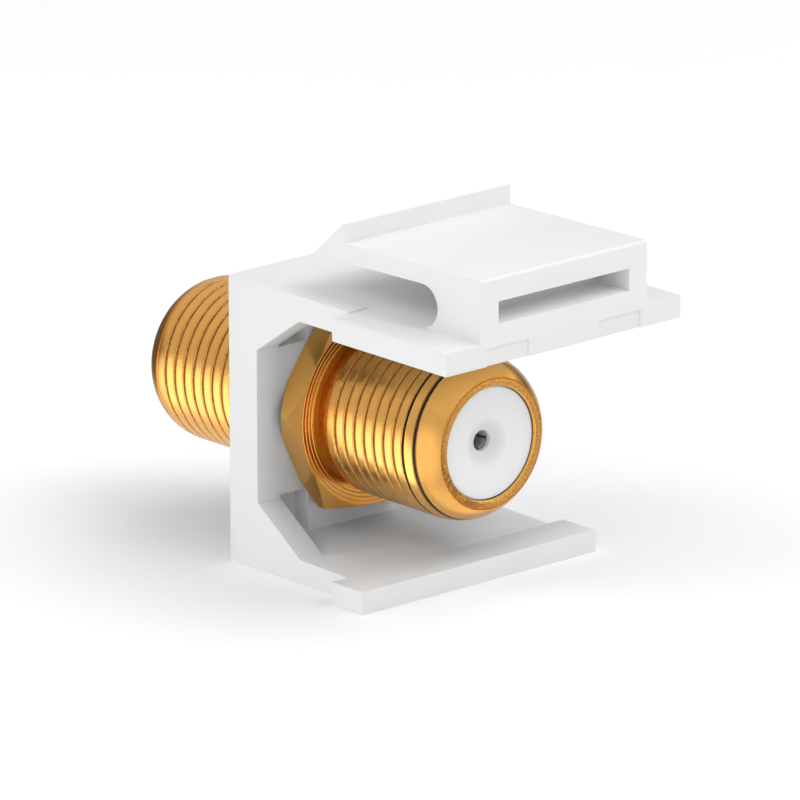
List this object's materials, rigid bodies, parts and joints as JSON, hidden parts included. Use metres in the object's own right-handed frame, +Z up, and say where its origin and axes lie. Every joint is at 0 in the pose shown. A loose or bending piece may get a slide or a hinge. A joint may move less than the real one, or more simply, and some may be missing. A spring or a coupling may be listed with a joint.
{
  "type": "snap-in coaxial coupler insert",
  "caption": "White snap-in wall plate insert with a C-shaped latch bracket and a gold-plated threaded coaxial coupler screwed through its rear plate.",
  "frame": {"origin": "under the middle of the whole part's box, on the surface that the housing stands on", "axes": "+Z up, +Y rearwards along the coupler's axis, +X to the right seen from the front"},
  "size_m": [0.0172, 0.03, 0.0206],
  "materials": {
    "white_plastic": "smooth, semi-gloss",
    "gold_plated_brass": "polished gold plate",
    "insulator_plastic": "smooth, satin",
    "contact_metal": "dull plate"
  },
  "bodies": {
    "root": {"snap_in_housing": "white_plastic", "coupler_shell": "gold_plated_brass", "front_insulator": "insulator_plastic", "rear_insulator": "insulator_plastic", "centre_contact": "contact_metal"}
  },
  "joints": []
}
